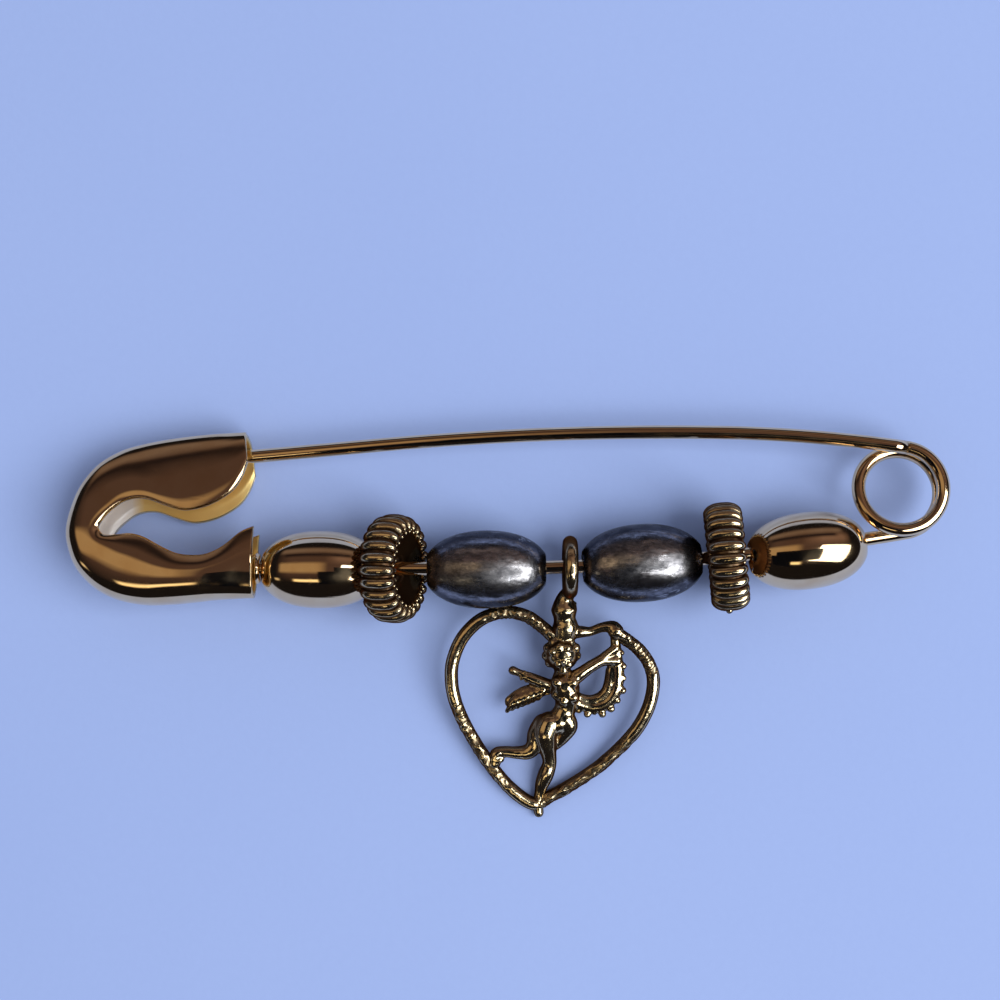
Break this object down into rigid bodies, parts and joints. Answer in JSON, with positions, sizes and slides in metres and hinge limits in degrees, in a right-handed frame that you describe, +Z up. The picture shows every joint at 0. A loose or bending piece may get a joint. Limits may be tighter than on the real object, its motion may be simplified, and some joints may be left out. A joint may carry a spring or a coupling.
{
  "type": "safety pin brooch",
  "caption": "Gold safety pin with oval beads, ribbed rings and a pierced heart charm on its bar. The sprung needle can be pressed in towards the bar.",
  "frame": {"origin": "middle of the footprint of the whole brooch, on the surface that it lies on", "axes": "+X along the pin from its cap to its coil, +Y from the bar towards the needle, +Z up from the surface"},
  "size_m": [0.076, 0.0346, 0.0094],
  "materials": {
    "polished_gold": "mirror polish",
    "cast_gold": "cast, worn bright on the high places",
    "antique_silver": "brushed, with dark tarnish"
  },
  "bodies": {
    "pin": {"cap": "polished_gold", "bar_wire": "polished_gold", "spring_coil": "polished_gold", "gold_bead_left": "polished_gold", "ribbed_ring_left": "cast_gold", "silver_bead_left": "antique_silver", "heart_charm": "cast_gold", "silver_bead_right": "antique_silver", "ribbed_ring_right": "cast_gold", "gold_bead_right": "polished_gold"},
    "needle": {"needle": "polished_gold"}
  },
  "joints": [
    {"name": "needle_hinge", "type": "hinge", "parent": "pin", "child": "needle", "pos_m": [0.03386, 0.01195, 0.0049], "axis": [0, 0.2386, 0.9711], "range_deg": [0, 5], "stiffness_Nm_per_rad": 0.01, "springref_deg": -20.05}
  ]
}
